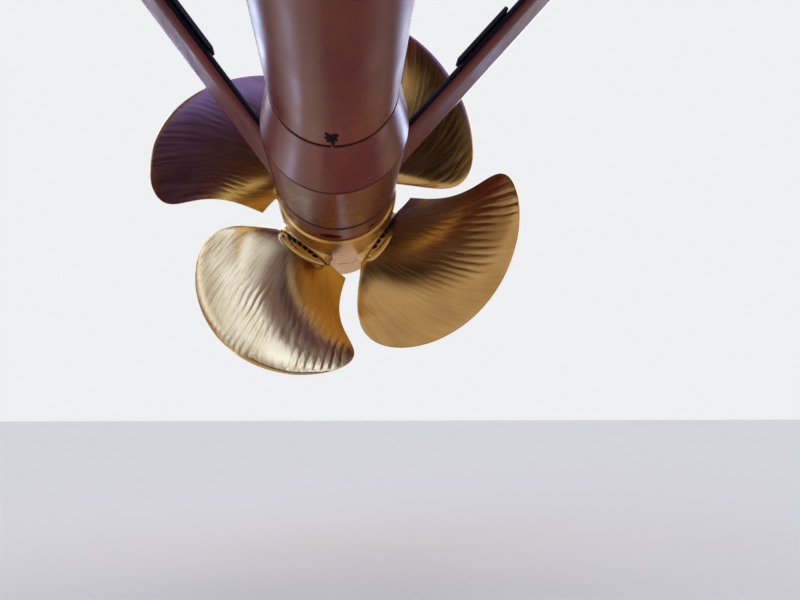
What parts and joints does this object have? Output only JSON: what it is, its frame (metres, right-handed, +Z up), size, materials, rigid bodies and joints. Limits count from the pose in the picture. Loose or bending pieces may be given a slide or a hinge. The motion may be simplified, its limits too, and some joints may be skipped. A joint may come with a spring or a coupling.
{
  "type": "controllable-pitch ship propeller with stern bracket",
  "caption": "Controllable-pitch bronze ship propeller with skewed blades on its tail shaft, carried by a V-arm stern bracket, shaft tube and rope guard.",
  "frame": {"origin": "centre of the flat hull face of the port arm palm", "axes": "+Y aft along the shaft line, +X to port, +Z up; the shaft axis lies parallel to Y, below and to starboard of the origin"},
  "size_m": [5.4698, 7.0303, 4.1292],
  "materials": {
    "antifouling_paint": "satin red-brown antifouling paint",
    "propeller_bronze": "ground nickel-aluminium bronze",
    "shaft_steel": "machined steel",
    "bush_bronze": "machined bearing bronze",
    "anode_metal": "dull dark cast anode"
  },
  "bodies": {
    "bracket": {"shaft_tube": "antifouling_paint", "tube_flange": "antifouling_paint", "forward_bush": "bush_bronze", "fairing_cone": "antifouling_paint", "bracket_barrel": "antifouling_paint", "aft_bush": "bush_bronze", "seal_housing": "shaft_steel", "rope_guard_port_half": "antifouling_paint", "rope_guard_starboard_half": "antifouling_paint", "port_arm": "antifouling_paint", "port_arm_palm": "antifouling_paint", "port_arm_anode": "anode_metal", "starboard_arm": "antifouling_paint", "starboard_arm_palm": "antifouling_paint", "starboard_arm_anode": "anode_metal"},
    "rotor": {"tail_shaft": "shaft_steel", "shaft_coupling": "shaft_steel", "seal_liner": "shaft_steel", "hub_body": "propeller_bronze", "hub_cap": "propeller_bronze", "cap_cover": "propeller_bronze"},
    "blade_one": {"blade_1": "propeller_bronze"},
    "blade_two": {"blade_2": "propeller_bronze"},
    "blade_three": {"blade_3": "propeller_bronze"},
    "blade_four": {"blade_4": "propeller_bronze"}
  },
  "joints": [
    {"name": "shaft_spin", "type": "hinge", "parent": "bracket", "child": "rotor", "pos_m": [-2.64121, 1.824, -2.45], "axis": [0, 1, 0], "continuous": true},
    {"name": "blade_pitch", "type": "hinge", "parent": "rotor", "child": "blade_one", "pos_m": [-2.64121, 1.824, -2.45], "axis": [-0.5878, 0, -0.809], "range_deg": [-4, 50]},
    {"name": "blade_pitch_2", "type": "hinge", "parent": "rotor", "child": "blade_two", "pos_m": [-2.64121, 1.824, -2.45], "axis": [0.809, 0, -0.5878], "range_deg": [-4, 50]},
    {"name": "blade_pitch_3", "type": "hinge", "parent": "rotor", "child": "blade_three", "pos_m": [-2.64121, 1.824, -2.45], "axis": [0.5878, 0, 0.809], "range_deg": [-4, 50]},
    {"name": "blade_pitch_4", "type": "hinge", "parent": "rotor", "child": "blade_four", "pos_m": [-2.64121, 1.824, -2.45], "axis": [-0.809, 0, 0.5878], "range_deg": [-4, 50]}
  ],
  "couplings": [
    {"joint": "blade_pitch_2", "follows": "blade_pitch", "ratio": 1},
    {"joint": "blade_pitch_3", "follows": "blade_pitch", "ratio": 1},
    {"joint": "blade_pitch_4", "follows": "blade_pitch", "ratio": 1}
  ]
}
